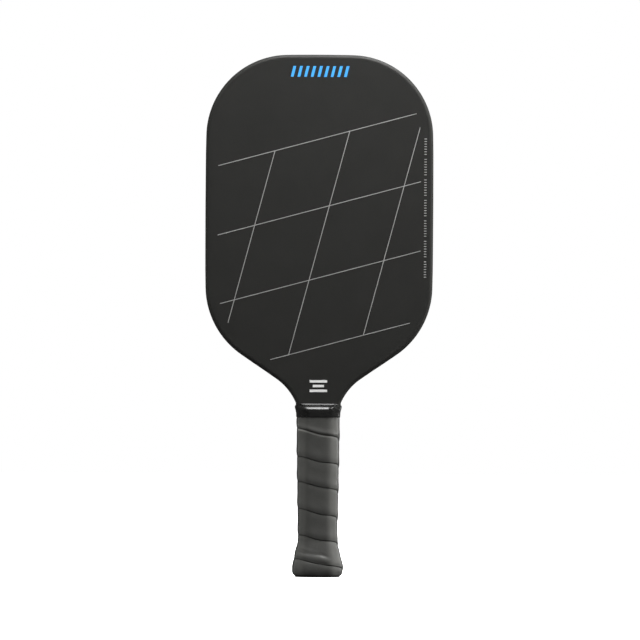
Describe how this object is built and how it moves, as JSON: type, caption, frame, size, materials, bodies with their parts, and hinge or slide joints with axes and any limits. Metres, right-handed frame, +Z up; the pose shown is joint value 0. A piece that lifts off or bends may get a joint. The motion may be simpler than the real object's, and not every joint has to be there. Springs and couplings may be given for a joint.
{
  "type": "pickleball paddle",
  "caption": "Pickleball paddle with a rounded rectangular carbon head over a honeycomb core, a flared throat, a spiral-wrapped octagonal handle and a flared butt.",
  "frame": {"origin": "centre of the flat butt end of the handle", "axes": "+Z up the long axis from the butt to the crown, +X across the face to the right as seen from the front, +Y through the thickness from the front face to the back face"},
  "size_m": [0.1828, 0.0334, 0.4191],
  "materials": {
    "face_carbon": "matte woven-carbon skin",
    "edge_carbon": "bare carbon laminate",
    "core_polymer": "translucent white polymer",
    "core_veil": "non-woven veil",
    "edge_foam": "rigid foam",
    "line_ink": "flat grey ink",
    "bar_ink": "flat blue ink",
    "mark_ink": "flat white ink",
    "handle_foam": "dense moulded foam",
    "cap_plastic": "moulded black plastic",
    "disc_plastic": "plain dark plastic",
    "staple_steel": "plated wire",
    "adhesive_tape": "double-sided tape",
    "grip_leather": "synthetic leather, fine grain",
    "finish_tape": "vinyl tape",
    "collar_rubber": "glossy black rubber"
  },
  "bodies": {
    "root": {"honeycomb_core": "core_polymer", "front_core_scrim": "core_veil", "back_core_scrim": "core_veil", "edge_foam": "edge_foam", "edge_wall": "edge_carbon", "front_face_skin": "face_carbon", "back_face_skin": "face_carbon", "front_line_print": "line_ink", "front_bar_print": "bar_ink", "front_mark_print": "mark_ink", "back_line_print": "line_ink", "back_bar_print": "bar_ink", "back_mark_print": "mark_ink", "front_handle_pallet": "handle_foam", "back_handle_pallet": "handle_foam", "butt_cap": "cap_plastic", "butt_cap_disc": "disc_plastic", "butt_cap_staples": "staple_steel", "grip_adhesive_tape": "adhesive_tape", "grip_wrap": "grip_leather", "grip_start_staple": "staple_steel", "finishing_tape": "finish_tape", "grip_collar": "collar_rubber"}
  },
  "joints": []
}
